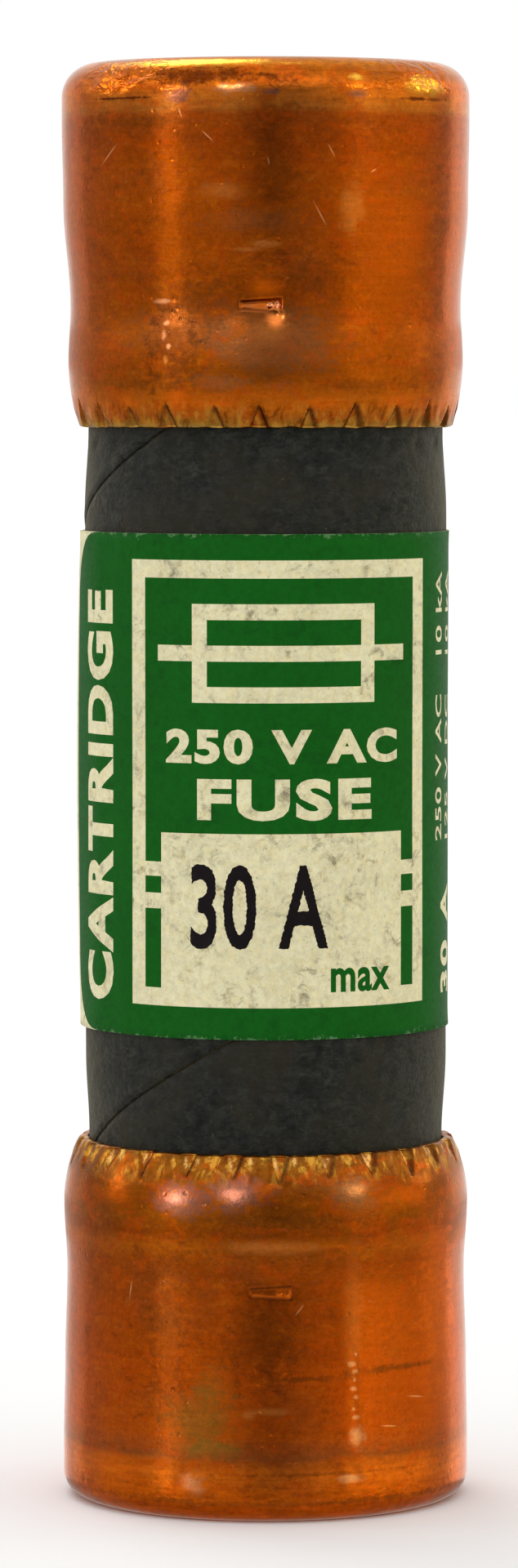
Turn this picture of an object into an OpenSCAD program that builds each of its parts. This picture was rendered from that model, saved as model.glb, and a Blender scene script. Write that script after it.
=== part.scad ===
// Cartridge fuse: ferrule type, 9/16 x 2 inch case, single use.
// Millimetres. The origin is the middle of the fuse, and +Z runs along its axis.
// Every part of one end is drawn on the lower end, and mirrored for the upper one.

/* [Case] */
// Length over both ferrules
fuse_len = 50.4; // [49:0.1:54]
// Outside diameter of the fibre tube
tube_od = 12.7; // [12.6:0.05:12.75]
// Bore of the fibre tube
tube_id = 9.5; // [9:0.1:9.8]
// Lead of the outer ply's butt seam, for one turn round the tube
seam_lead = 22.5; // [18:0.1:28]

/* [Ferrules] */
// Outside diameter of a ferrule's barrel
ferrule_od = 14.29; // [14.25:0.01:14.4]
// Length of a ferrule, from its end face to its rim
ferrule_len = 12.7; // [12.45:0.05:13.4]
// Wall of a ferrule
ferrule_wall = 0.46; // [0.42:0.01:0.48]
// Radius of the shoulder between the end face and the barrel
shoulder_r = 1.1; // [1:0.1:1.7]
// Crimp notches round a rim
crimp_count = 25; // [18:1:30]

/* [Label] */
// Height of the label along the fuse
label_h = 17.4; // [12:0.1:20]
// Paper thickness
label_t = 0.1; // [0.08:0.01:0.14]
// Angle over which the label's two ends overlap
label_lap = 24; // [10:1:40]

/* [Fuse link] */
// Width of the zinc strip
link_w = 5; // [4:0.1:5.4]
// Thickness of the zinc strip
link_t = 0.3; // [0.2:0.01:0.32]
// Width left at a neck
neck_w = 1.6; // [1:0.1:2.2]
// Distance between necks
neck_pitch = 9; // [7:0.5:11]

/* [Hidden] */

round_fn = 96;
clear = 0.02;                           // glue line, or slack between parts that only touch
half_len = fuse_len / 2;
tube_r = tube_od / 2;
bore_r = tube_id / 2;
ferrule_r = ferrule_od / 2;

// Ferrule, by distance s from its end face
barrel_s = 4.8;                         // the barrel is a true cylinder from the shoulder to here
rim_t = 0.3;                            // the wall thins to this at the rim
rim_r = tube_r + 0.2;                   // outside radius of the rolled-in rim
profile_step = 0.4;
arc_steps = 8;
// [groove s, groove radius, swell s, swell radius]: the rolled groove and the swell between it and the rim
UPPER_ROLL = [8.5, 6.85, 10.4, 6.92];
LOWER_ROLL = [8, 7.01, 10.5, 7.11];
stake_w = 1.6;                          // the punch that locks a ferrule to the tube
stake_h = 0.5;
stake_depth = 0.3;
stake_bite = 0.2;                       // how far the punched metal stands into the tube
notch_r = 0.38;                         // crimp notch at the rim
notch_len = 0.85;
notch_out = 0.14;                       // how far its middle stands outside the surface

// Tube, wound from spiral plies of one thickness
ply_count = 4;
ply_t = (tube_r - bore_r) / ply_count;
seat_r = tube_r - 0.05;                 // the tube's radius inside a ferrule
nip_r = tube_r - 0.13;                  // and where the rim is crimped into it
nip_reach = 3;                          // how far from the rim the squeeze shows
nip_flat = 0.3;                         // how far it runs under the rim
nip_end = 1.5;                          // where the tube is back at its seat
seam_w = 0.12;
seam_depth = 0.15;
seam_z_front = -7.9;                    // height of the seam at the front, where the angle is -90
seam_step_deg = 7.5;

// End stack, by distance from the end face
solder_t = 0.34;
washer_t = 1.2;
washer_r = bore_r + 0.85;
tail_s = ferrule_wall + solder_t;       // outer face of the link's folded tail
washer_s = tail_s + link_t;
tube_end_s = washer_s + washer_t;
tail_len = 5;                           // the tail reaches this far down the tube's side
tail_r = seat_r + clear;                // inner face of the tail on the tube's side
bend_in = 0.6;                          // inner radius of the tail's bend over the tube's end
tube_half = half_len - tube_end_s;
slot_w = link_w + 0.3;
slot_t = link_t + 0.3;
seal_t = 0.5;                           // the seal disc's slit closes on the link, and keeps the filler in
solder_r = 2.1;
solder_y = 2.5;                         // the solder sits on the folded tail, beside the axis

label_z = 0.18;                          // middle of the label
label_r = tube_r + clear;
lap_end_deg = 180;                      // the outer end of the label lies at the left-hand side

function ease(t) = (1 - cos(180 * t)) / 2;
function between(a, b, t) = a + (b - a) * ease(t);
function arc(cx, cy, r, from, to) =
    [for (i = [0 : arc_steps]) let (a = from + (to - from) * i / arc_steps) [cx + r * cos(a), cy + r * sin(a)]];
function stations(from, to) =
    let (n = ceil((to - from) / profile_step)) [for (i = [0 : n]) from + (to - from) * i / n];
function backwards(list) = [for (i = [len(list) - 1 : -1 : 0]) list[i]];

function ferrule_radius(s, roll) =
    s <= barrel_s ? ferrule_r :
    s <= roll[0] ? between(ferrule_r, roll[1], (s - barrel_s) / (roll[0] - barrel_s)) :
    s <= roll[2] ? between(roll[1], roll[3], (s - roll[0]) / (roll[2] - roll[0])) :
    roll[3] - (roll[3] - rim_r) * pow((s - roll[2]) / (ferrule_len - roll[2]), 2);
function wall_at(s, roll) =
    s <= roll[2] ? ferrule_wall :
    between(ferrule_wall, rim_t, (s - roll[2]) / (ferrule_len - roll[2]));
function tube_radius(z) =
    let (from_rim = abs(z) - (half_len - ferrule_len))
    from_rim < -nip_reach ? tube_r :
    from_rim < 0 ? between(tube_r, nip_r, 1 + from_rim / nip_reach) :
    from_rim < nip_flat ? nip_r :
    from_rim < nip_end ? between(nip_r, seat_r, (from_rim - nip_flat) / (nip_end - nip_flat)) : seat_r;

// Heights at which the tube's outline needs a point: its ends, its squeezed stretches and the straight middle's ends.
function ply_heights() =
    let (rim = half_len - ferrule_len,
         upper = concat(stations(rim - nip_reach, rim), stations(rim + nip_flat, rim + nip_end), [tube_half]))
    concat([for (z = backwards(upper)) -z], upper);

module upper_end() mirror([0, 0, 1]) lower_end() children();
module lower_end() translate([0, 0, -half_len]) children();

module ring(r_in, r_out, z_low, z_high)
    translate([0, 0, z_low])
        difference() {
            cylinder(r = r_out, h = z_high - z_low, $fn = round_fn);
            translate([0, 0, -1]) cylinder(r = r_in, h = z_high - z_low + 2, $fn = round_fn);
        }

// A drawn cup with a rounded shoulder, a rolled groove and a rolled-in rim.
module ferrule_cup(roll) {
    s_list = concat([for (s = stations(barrel_s, roll[0])) s],
                    [for (s = stations(roll[0], roll[2])) if (s > roll[0]) s],
                    [for (s = stations(roll[2], ferrule_len)) if (s > roll[2]) s]);
    outside = concat([[0, 0]], arc(ferrule_r - shoulder_r, shoulder_r, shoulder_r, -90, 0),
                     [for (s = s_list) [ferrule_radius(s, roll), s]]);
    inside = concat([for (s = backwards(s_list)) [ferrule_radius(s, roll) - wall_at(s, roll), s]],
                    arc(ferrule_r - shoulder_r, shoulder_r, shoulder_r - ferrule_wall, 0, -90),
                    [[0, ferrule_wall]]);
    rotate_extrude($fn = round_fn) polygon(concat(outside, inside));
}

// Punch marks on opposite sides, at the bottom of the groove. grow makes the pocket that clears them.
module stakes(r_from, r_to, s, grow = 0)
    for (side = [-1, 1])
        translate([-stake_w / 2 - grow, side > 0 ? r_from : -r_to, s - stake_h / 2 - grow])
            cube([stake_w + 2 * grow, r_to - r_from, stake_h + 2 * grow]);

// Narrow at the barrel and wide at the rim. Each one leans with the surface that it is pressed into.
module crimp_notches(roll) {
    lean = atan((ferrule_radius(ferrule_len - notch_len, roll) - rim_r) / notch_len);
    for (i = [0 : crimp_count - 1])
        rotate([0, 0, -90 + 360 * i / crimp_count])
            translate([rim_r + notch_out, 0, ferrule_len])
                rotate([0, -lean, 0])
                    translate([0, 0, -notch_len])
                        cylinder(r1 = 0.04, r2 = notch_r, h = notch_len + 0.2, $fn = 32);
}

module ferrule(roll) {
    groove_in = roll[1] - ferrule_wall;
    difference() {
        union() {
            ferrule_cup(roll);
            stakes(seat_r - stake_bite, groove_in + 0.2, roll[0]);
        }
        stakes(roll[1] - stake_depth, ferrule_r + 1, roll[0], -0.06);
        crimp_notches(roll);
    }
}

module upper_ferrule() color("#b8692c") upper_end() ferrule(UPPER_ROLL);
module lower_ferrule() color("#b8692c") lower_end() ferrule(LOWER_ROLL);

// A thin blade that follows the seam between neighbouring turns of the outer ply.
module seam_blade() {
    reach = half_len - ferrule_len + 1.5;
    turn = (reach * 2) / seam_lead * 360;
    count = ceil(turn / seam_step_deg);
    start = -90 + (-reach - seam_z_front) / seam_lead * 360;
    r_in = tube_r - seam_depth;
    r_out = tube_r + 0.3;
    points = [for (i = [0 : count])
        let (a = start + turn * i / count, z = -reach + 2 * reach * i / count)
        for (c = [[r_in, -seam_w], [r_out, -seam_w], [r_out, seam_w], [r_in, seam_w]])
            [c[0] * cos(a), c[0] * sin(a), z + c[1] / 2]];
    sides = [for (i = [0 : count - 1], k = [0 : 3])
        let (a = 4 * i + k, b = 4 * i + (k + 1) % 4)
        each [[a, a + 4, b], [b, a + 4, b + 4]]];
    ends = [[0, 1, 2], [0, 2, 3],
            [4 * count, 4 * count + 2, 4 * count + 1], [4 * count, 4 * count + 3, 4 * count + 2]];
    polyhedron(points, concat(sides, ends));
}

module tube_outer_ply()
    color("#3b3d37")
        difference() {
            rotate_extrude($fn = round_fn)
                polygon(concat([[tube_r - ply_t, -tube_half]],
                               [for (z = ply_heights()) [tube_radius(z), z]],
                               [[tube_r - ply_t, tube_half]]));
            seam_blade();
            lower_end() stakes(seat_r - stake_bite - clear, ferrule_r, LOWER_ROLL[0], 0.05);
            upper_end() stakes(seat_r - stake_bite - clear, ferrule_r, UPPER_ROLL[0], 0.05);
        }

// One of the plies under the outer one, counted from the bore.
module inner_ply(k)
    ring(bore_r + k * ply_t, bore_r + (k + 1) * ply_t - clear, -tube_half, tube_half);

module tube_second_ply() color("#57564d") inner_ply(2);
module tube_third_ply() color("#605e53") inner_ply(1);
module tube_liner_ply() color("#6d6a5e") inner_ply(0);

// One sheet round the tube. Its last stretch lies on its own first stretch.
module label() {
    color("#e4dfc4")
        translate([0, 0, label_z]) {
            ring(label_r, label_r + label_t, -label_h / 2, label_h / 2);
            translate([0, 0, -label_h / 2])
                rotate([0, 0, lap_end_deg])
                    rotate_extrude(angle = label_lap, $fn = round_fn)
                        translate([label_r + label_t / 2, 0]) square([label_t * 1.5, label_h]);
        }
}

// The strip between the washers, with its necks. grow makes the space that it takes in the filler.
module link_strip(half, grow = 0)
    rotate([90, 0, 0])
        linear_extrude(height = link_t + 2 * grow, center = true)
            difference() {
                square([link_w + 2 * grow, 2 * half], center = true);
                for (side = [-1, 1], k = [-1 : 1])
                    translate([side * link_w / 2, k * neck_pitch])
                        circle(r = (link_w - neck_w) / 2 - grow, $fn = 48);
            }

// The strip's end: folded flat across the washer, then over the tube's end and down its side.
module link_tail()
    intersection() {
        rotate_extrude($fn = round_fn)
            polygon(concat(
                [[0, tail_s]],
                arc(tail_r - bend_in, tail_s + link_t + bend_in, bend_in + link_t, -90, 0),
                [[tail_r + link_t, tail_len], [tail_r, tail_len]],
                arc(tail_r - bend_in, tail_s + link_t + bend_in, bend_in, 0, -90),
                [[0, washer_s]]));
        translate([-link_w / 2, -link_t / 2, 0]) cube([link_w, ferrule_r, tail_len + 1]);
    }

module fuse_link()
    color("#a9acad") {
        link_strip(half_len - tail_s);
        lower_end() link_tail();
        upper_end() link_tail();
    }

module washer()
    difference() {
        translate([0, 0, washer_s + clear]) cylinder(r = washer_r, h = washer_t - 2 * clear, $fn = round_fn);
        translate([-slot_w / 2, -slot_t / 2, 0]) cube([slot_w, slot_t, tube_end_s + 1]);
    }

module upper_washer() color("#8d3b2c") upper_end() washer();
module lower_washer() color("#8d3b2c") lower_end() washer();

module seal_disc()
    difference() {
        translate([0, 0, tube_end_s + clear]) cylinder(r = bore_r - clear, h = seal_t, $fn = round_fn);
        translate([-link_w / 2 - clear, -link_t / 2 - clear, 0])
            cube([link_w + 2 * clear, link_t + 2 * clear, tube_end_s + seal_t + 1]);
    }

module upper_seal_disc() color("#ded8c6") upper_end() seal_disc();
module lower_seal_disc() color("#ded8c6") lower_end() seal_disc();

module solder()
    translate([0, solder_y, ferrule_wall + clear])
        cylinder(r1 = solder_r + 0.3, r2 = solder_r, h = solder_t - 2 * clear, $fn = 64);

module upper_solder() color("#c4c6c6") upper_end() solder();
module lower_solder() color("#c4c6c6") lower_end() solder();

module filler()
    color("#e8e2d0")
        difference() {
            cylinder(r = bore_r - clear, h = 2 * (tube_half - seal_t) - 4 * clear, center = true, $fn = round_fn);
            link_strip(half_len, clear);
        }

upper_ferrule();
lower_ferrule();
label();
tube_outer_ply();
tube_second_ply();
tube_third_ply();
tube_liner_ply();
upper_washer();
lower_washer();
upper_seal_disc();
lower_seal_disc();
upper_solder();
lower_solder();
fuse_link();
filler();
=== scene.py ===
"""A one-time cartridge fuse: crimped copper ferrules on a wound fibre tube, with a printed paper label.

Lengths are in millimetres until a mesh is made. phi is the angle round the fuse, 0 at the printed front (-Y)
and growing to the right. s is the distance from a ferrule's end face towards its rim, and u is the distance
round the ferrule from the front.
"""
import math

import bmesh
import bpy
import numpy as np
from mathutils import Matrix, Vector, geometry


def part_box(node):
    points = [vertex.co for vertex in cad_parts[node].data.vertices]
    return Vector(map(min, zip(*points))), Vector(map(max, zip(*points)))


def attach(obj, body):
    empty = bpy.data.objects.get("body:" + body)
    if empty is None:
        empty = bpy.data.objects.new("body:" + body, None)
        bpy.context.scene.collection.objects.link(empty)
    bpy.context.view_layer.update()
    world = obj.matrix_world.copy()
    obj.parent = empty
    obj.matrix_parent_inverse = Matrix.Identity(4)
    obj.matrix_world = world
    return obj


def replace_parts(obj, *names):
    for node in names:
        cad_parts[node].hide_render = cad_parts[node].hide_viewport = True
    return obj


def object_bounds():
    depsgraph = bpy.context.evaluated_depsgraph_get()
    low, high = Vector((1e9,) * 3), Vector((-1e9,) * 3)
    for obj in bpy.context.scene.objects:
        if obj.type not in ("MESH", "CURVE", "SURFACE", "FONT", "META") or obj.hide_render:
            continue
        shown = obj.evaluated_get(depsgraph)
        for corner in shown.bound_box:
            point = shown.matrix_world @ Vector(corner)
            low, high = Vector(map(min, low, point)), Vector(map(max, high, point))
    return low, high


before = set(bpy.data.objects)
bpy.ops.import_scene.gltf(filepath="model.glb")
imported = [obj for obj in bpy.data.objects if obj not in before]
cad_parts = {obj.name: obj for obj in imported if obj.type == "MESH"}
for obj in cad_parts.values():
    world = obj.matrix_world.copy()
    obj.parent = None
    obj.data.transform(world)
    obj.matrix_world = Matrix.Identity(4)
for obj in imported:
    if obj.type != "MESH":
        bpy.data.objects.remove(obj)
cad_low, cad_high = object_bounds()
scene = bpy.context.scene

MM = 0.001
HALF = cad_high.z / MM                                  # half the fuse's length
FERRULE_R = cad_high.x / MM
FERRULE_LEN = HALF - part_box("upper_ferrule")[0].z / MM
TUBE_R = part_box("tube_outer_ply")[1].x / MM
TUBE_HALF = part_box("tube_outer_ply")[1].z / MM
LABEL_LOW, LABEL_HIGH = (corner.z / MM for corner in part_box("label"))

# Ferrule
WALL, RIM_WALL = 0.46, 0.3
LIP = 0.06                                              # how far the rounded edge of the rim reaches
BARREL_END, BARREL_SAG = 4.8, 0.045                     # the barrel has lost this much radius by its end
RIM_R = TUBE_R + 0.2
FACE_RINGS = np.array([0.8, 2.2, 3.6, 4.8])             # radii of the mesh rings in the end face
COARSE, MEDIUM, FINE = 0.25, 0.2, 0.045                 # steps of the mesh along the barrel
CRIMPS = 25
CRIMP_PITCH = 360 / CRIMPS
CRIMP_LEN, CRIMP_HALF_W = 0.95, 0.38
CRIMPED_FROM = 11.5                                     # no crimp starts before this s
CRIMP_SPREAD, STAKE_SPREAD = 4, 8                       # degrees each side of a mark that need a fine mesh
STAKE_HALF_L, PIT_R = 0.77, 0.13

# The two ferrules. end is 1 for the upper one and -1 for the lower one. groove and swell are (s, radius).
# stake is the punch mark, and dings are (phi in degrees, s, radius, depth). crease says how dark the painted
# shade along a crimp's edges is, and a hollow below 0 darkens the inside of a crimp. ridge and stake_shine
# say how bright the painted glints are on a crimp's ridges and in the pits of the punch mark.
UPPER = dict(
    end=1, shoulder=1.2, groove=(8.5, 6.85), swell=(10.4, 6.93),
    crumple=0.2, rough_rim=0.012, gold=0.5, seed=3,
    stake_depth=0.2, stake_phi=-1.4, stake_shine=1.0,
    crimp_phi=-1.3, crimp_depth=0.18, crease=0.7, hollow=-0.4, ridge=0.5,
    dings=[(-49, 0.6, 0.3, 0.03), (-43, 0.8, 0.22, 0.025), (-37, 0.55, 0.25, 0.02), (54, 0.5, 0.3, 0.03),
           (60, 0.75, 0.25, 0.03), (49, 0.85, 0.2, 0.02), (27, 0.65, 0.16, 0.02), (-27, 8.25, 0.12, 0.015),
           (-9, 0.8, 0.3, 0.01), (150, 0.7, 0.3, 0.03), (-160, 5.5, 0.3, 0.02)])
LOWER = dict(
    end=-1, shoulder=0.8, groove=(8.0, 7.01), swell=(10.5, 7.12),
    crumple=0.05, rough_rim=0.018, gold=0.75, seed=8,
    stake_depth=0.09, stake_phi=1.4, stake_shine=0.0,
    crimp_phi=4.3, crimp_depth=0.16, crease=0.9, hollow=-0.1, ridge=2.2,
    dings=[(-24, 1.5, 0.3, 0.03), (26, 1.5, 0.2, 0.03), (26.5, 2.95, 0.2, 0.05), (25.5, 5.8, 0.1, 0.022),
           (26, 5.4, 0.1, 0.02), (25.5, 4.9, 0.1, 0.025), (26, 4.5, 0.1, 0.02), (25.5, 4.1, 0.1, 0.025),
           (26, 3.6, 0.1, 0.022), (170, 3.0, 0.3, 0.02), (-140, 0.8, 0.25, 0.03)])

# Colours of tarnished copper, and of the highlights, reflections and shade painted on it
SHADE = (0.15, 0.025, 0.002)
BROWN = (0.26, 0.06, 0.005)
# painted shade that dulls a lamp's highlight on the upper swell
SWELL_SHADE = (0.21, 0.045, 0.004)
SMOKE = (0.3, 0.07, 0.015)
LIVER = (0.24, 0.045, 0.004)
GRIME = (0.09, 0.035, 0.01)
# painted shade in the crimps' creases and hollows and along the punch marks' slits
CREASE_SHADE = (0.08, 0.02, 0.005)
OLIVE = (0.36, 0.19, 0.022)
DULL = (0.48, 0.17, 0.05)
# FAWN and ROSE colour the lamps' highlights: painted highlight tints
FAWN = (0.35, 0.14, 0.055)
ROSE = (0.38, 0.14, 0.085)
HAZE = (0.6, 0.35, 0.24)
RED = (0.66, 0.085, 0.002)
AMBER = (0.75, 0.18, 0.006)
# scuffs, and painted highlights where a lamp catches the metal
SCUFF_AND_HIGHLIGHT = (0.85, 0.25, 0.04)
POLISH = (0.85, 0.4, 0.16)
# painted orange reflections of the lamps and the room
GLOW = (0.95, 0.165, 0.005)
# painted glow above the upper punch mark
EMBER = (1.0, 0.17, 0.002)
# painted highlight under the upper punch mark
ORANGE_HIGHLIGHT = (1.0, 0.27, 0.05)
# scratches, and painted highlights on small dents and on the bends
PINK = (1.0, 0.38, 0.14)
# painted highlights on the upper bend
GOLD = (1.0, 0.5, 0.05)
# gold flecks at the rims: tarnish and painted glints
FLECK = (0.85, 0.42, 0.05)
RIM_BROWN = (0.2, 0.05, 0.003)
# painted glints away from the rim and at it
GLINT_COLOUR, RIM_GLINT_COLOUR = (1.0, 0.42, 0.2), (1.0, 0.58, 0.17)
SCRATCH_HALF_W = 0.035

# Tube
PLY = 0.4
NIP_R = TUBE_R - 0.13                                   # where the rim nips the tube
SEAT_R = TUBE_R - 0.05                                  # further in, under the ferrule
NIP_REACH = 3.0                                         # how far from the rim the tube starts to narrow
SEAM_LEAD = 22.5
SEAM_Z = -7.9                                           # height of the seam at the front
SEAM_HALF_W, SEAM_DEPTH = 0.06, 0.2
COLUMNS_PER_TURN = 200

# Label
PAPER = 0.07
LABEL_R = TUBE_R + 0.01
PRINT_R = LABEL_R + PAPER
FREE_END = math.radians(-89)                            # the outer end of the sheet
LAP = math.radians(24)
LABEL_MESH, STAMP_MESH = 0.3, 0.06                      # longest edges in the sheet and in the stamp
INK_STRAY = 0.012
AGED = (1.0, 0.85, 0.55)                                # how old paper tints


# ---------------------------------------------------------------- small tools

def smooth(t):
    t = np.clip(t, 0, 1)
    return t * t * (3 - 2 * t)


def ease(a, b, t):
    return a + (b - a) * (1 - np.cos(np.pi * np.clip(t, 0, 1))) / 2


def bell(x, width):
    return np.exp(-(x / width) ** 2)


def nearest(angle):
    """The same direction as an angle of -pi to pi."""
    return (angle + np.pi) % (2 * np.pi) - np.pi


def spaced(*runs):
    """Values from one run to the next. Each run is (start, step), and the last one is (end,)."""
    out = []
    for (start, step), following in zip(runs, runs[1:]):
        count = max(1, round((following[0] - start) / step))
        out += list(np.linspace(start, following[0], count, endpoint=False))
    return np.array(out + [runs[-1][0]])


def waves(phi, z, seed, size, turns, pitch):
    """A gentle unevenness that closes round the fuse.

    It is a sum of waves, with up to turns of them round the fuse and each at least pitch long in z.
    """
    random = np.random.default_rng(seed)
    total = np.zeros(np.broadcast(phi, z).shape)
    for _ in range(9):
        n = random.integers(0, turns + 1)
        k = random.uniform(-1, 1) * 2 * np.pi / pitch
        total += np.cos(n * phi + k * z + random.uniform(0, 2 * np.pi))
    return size * total / 3


def mesh_object(name, points, faces, materials, indices=None, wear_and_painted_light=None):
    """A smooth-shaded mesh that rides on the fuse. Points are in millimetres, each with its own value of wear
    and painted light.
    """
    mesh = bpy.data.meshes.new(name)
    mesh.from_pydata((np.asarray(points) * MM).tolist(), [], faces)
    for material in materials:
        mesh.materials.append(material)
    if indices is not None:
        mesh.polygons.foreach_set("material_index", indices)
    if wear_and_painted_light is not None:
        mesh.attributes.new("wear_and_painted_light", "FLOAT", "POINT").data.foreach_set("value", wear_and_painted_light)
    mesh.polygons.foreach_set("use_smooth", [True] * len(mesh.polygons))
    piece = bpy.data.objects.new(name, mesh)
    scene.collection.objects.link(piece)
    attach(piece, "root")
    return piece


def around(r, phi, z):
    return np.stack([r * np.sin(phi), -r * np.cos(phi), np.broadcast_to(z, np.shape(r))], -1)


# ---------------------------------------------------------------- node trees

class Nodes:
    """Short names for the nodes of one tree. A value is a number, a colour or another node's output."""

    def __init__(self, tree):
        self.tree = tree
        tree.nodes.clear()

    def add(self, kind, inputs=(), **settings):
        node = self.tree.nodes.new(kind)
        for name, value in settings.items():
            setattr(node, name, value)
        for socket, value in dict(inputs).items():
            self.put(node.inputs[socket], value)
        return node

    def put(self, socket, value):
        if isinstance(value, bpy.types.NodeSocket):
            self.tree.links.new(value, socket)
        elif isinstance(value, tuple) and len(value) == 3 and socket.type == "RGBA":
            socket.default_value = (*value, 1)
        else:
            socket.default_value = value

    def math(self, operation, a, b=0.0, c=0.0):
        return self.add("ShaderNodeMath", {0: a, 1: b, 2: c}, operation=operation).outputs[0]

    def centred(self, value, size=1.0):
        """A value of 0 to 1, brought to -size/2 to size/2."""
        return self.math("MULTIPLY", self.math("SUBTRACT", value, 0.5), size)

    def place(self, scale=(1, 1, 1)):
        """Where a point is, in millimetres times scale."""
        coords = self.add("ShaderNodeTexCoord").outputs["Object"]
        size = tuple(1000 * k for k in scale)
        return self.add("ShaderNodeMapping", {"Vector": coords, "Scale": size}).outputs[0]

    def axes(self, vector):
        return self.add("ShaderNodeSeparateXYZ", {0: vector}).outputs

    def noise(self, vector, scale, detail=2.0, roughness=0.5, distortion=0.0):
        return self.add("ShaderNodeTexNoise", {"Vector": vector, "Scale": scale, "Detail": detail,
                                               "Roughness": roughness, "Distortion": distortion}).outputs[0]

    def cells(self, vector, scale):
        return self.add("ShaderNodeTexVoronoi", {"Vector": vector, "Scale": scale}).outputs[0]

    def span(self, value, low, high, to_low=0.0, to_high=1.0):
        """value from low..high to to_low..to_high, with soft ends."""
        return self.add("ShaderNodeMapRange", {0: value, 1: low, 2: high, 3: to_low, 4: to_high},
                        interpolation_type="SMOOTHSTEP").outputs[0]

    def ramp(self, value, *stops):
        node = self.add("ShaderNodeValToRGB", {0: value})
        elements = node.color_ramp.elements
        while len(elements) < len(stops):
            elements.new(0.5)
        for element, (position, colour) in zip(elements, stops):
            element.position = position
            element.color = (*colour, 1)
        return node.outputs[0]

    def mix(self, factor, a, b, blend="MIX"):
        inputs = {0: factor, 6: a, 7: b}
        return self.add("ShaderNodeMix", inputs, data_type="RGBA", blend_type=blend).outputs[2]

    def bump(self, height, distance, normal=None):
        inputs = {"Height": height, "Distance": distance}
        if normal is not None:
            inputs["Normal"] = normal
        return self.add("ShaderNodeBump", inputs).outputs[0]

    def surface(self, **inputs):
        named = {name.replace("_", " "): value for name, value in inputs.items()}
        shader = self.add("ShaderNodeBsdfPrincipled", named)
        self.add("ShaderNodeOutputMaterial", {0: shader.outputs[0]})


def material(name):
    made = bpy.data.materials.new(name)
    made.use_nodes = True
    return made, Nodes(made.node_tree)


def copper(name, end, bands, marks, scratches):
    """Tarnished copper.

    bands is a list of (s, colour) from the end face to the rim, marks a list of (u, s, half width, half
    length, colour, strength), and scratches a list of (u, s, half length, slant in degrees).
    """
    made, n = material(name)
    place = n.place()
    x, y, z = n.axes(place)
    s = n.math("MULTIPLY_ADD", z, -end["end"], HALF)
    u = n.math("MULTIPLY", n.math("ARCTAN2", x, n.math("MULTIPLY", y, -1)), FERRULE_R)
    cloud = n.noise(place, 0.4, 3, 0.5, 0.3)
    patch = n.noise(n.place((1, 1, 1.6)), 1.4, 6, 0.7, 0.5)
    fine = n.noise(place, 5, 5, 0.7)
    speck = n.noise(place, 11, 3, 0.8)
    dirt = n.span(n.noise(place, 5.5, 5, 0.7), 0.64, 0.74)
    on_shoulder = n.span(s, 2.4, 1.4)
    uneven = n.math("ADD", s, n.centred(cloud, 0.35))
    stops = [(at / FERRULE_LEN, tone) for at, tone in bands]
    colour = n.ramp(n.math("DIVIDE", uneven, FERRULE_LEN), *stops)
    colour = clouded(n, colour, cloud, patch)
    colour = marked(n, colour, u, s, patch, fine, marks, scratches)
    colour = grained(n, colour, fine, speck, on_shoulder)
    colour = flecked_rim(n, colour, s, end["gold"])
    dirty = n.math("MULTIPLY", dirt, n.math("MULTIPLY_ADD", on_shoulder, 0.4, 0.4))
    colour = n.mix(dirty, colour, GRIME)
    colour = crease_shade_and_glints(n, colour, s, speck)
    rough = copper_roughness(n, s, patch, dirt)
    normal = copper_normal(n, place, u, s, fine, end["crumple"])
    n.surface(Base_Color=colour, Metallic=1.0, Roughness=rough, Specular_Tint=(0.95, 0.88, 0.8, 1.0),
              Normal=normal)
    return made


def clouded(n, colour, cloud, patch):
    """Broad clouds, red ones, and lighter and darker patches."""
    red = n.noise(n.place((1, 1, 1.5)), 0.9, 4, 0.6, 0.8)
    colour = n.mix(n.span(cloud, 0.5, 0.7, 0, 0.3), colour, SMOKE)
    colour = n.mix(n.span(red, 0.48, 0.62, 0, 0.45), colour, RED)
    colour = n.mix(n.span(patch, 0.52, 0.72, 0, 0.4), colour, AMBER)
    return n.mix(n.span(patch, 0.48, 0.28, 0, 0.55), colour, LIVER)


def marked(n, colour, u, s, patch, fine, marks, scratches):
    """The marks with torn outlines, and the scratches over them."""
    torn = n.math("ADD", n.centred(patch, 2.5), n.centred(fine, 1.5))
    for at_u, at_s, half_w, half_l, tone, strength in marks:
        near = n.math("ADD", mark_distance(n, u, s, at_u, at_s, half_w, half_l), torn)
        colour = n.mix(n.span(near, 1.3, 0.2, 0, strength), colour, tone)
    for at_u, at_s, half_l, slant in scratches:
        distance = mark_distance(n, u, s, at_u, at_s, half_l, SCRATCH_HALF_W, slant)
        near = n.math("ADD", distance, n.centred(fine))
        colour = n.mix(n.span(near, 1.1, 0.4, 0, 0.9), colour, PINK)
    return colour


def grained(n, colour, fine, speck, on_shoulder):
    """Fine grain and brush marks round the fuse, small polished spots, and a pale haze."""
    streak = n.noise(n.place((0.5, 0.5, 5)), 1, 4, 0.7, 0.3)
    grain = n.math("ADD", n.span(fine, 0.3, 0.7, 0.87, 1.13), n.span(speck, 0.3, 0.7, -0.08, 0.08))
    brushed = n.math("MULTIPLY_ADD", on_shoulder, 0.6, 0.5)
    grain = n.math("MULTIPLY_ADD", n.centred(streak), brushed, grain)
    colour = n.mix(1.0, colour, grain, "MULTIPLY")
    bright = n.span(n.noise(n.place((1, 1, 1.3)), 4, 3, 0.8, 0.8), 0.68, 0.74)
    colour = n.mix(n.math("MULTIPLY", bright, 0.35), colour, POLISH)
    haze = n.noise(n.place((1, 1, 2)), 7, 4, 0.8, 0.6)
    return n.mix(n.span(haze, 0.48, 0.75, 0, 0.09), colour, HAZE)


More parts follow.
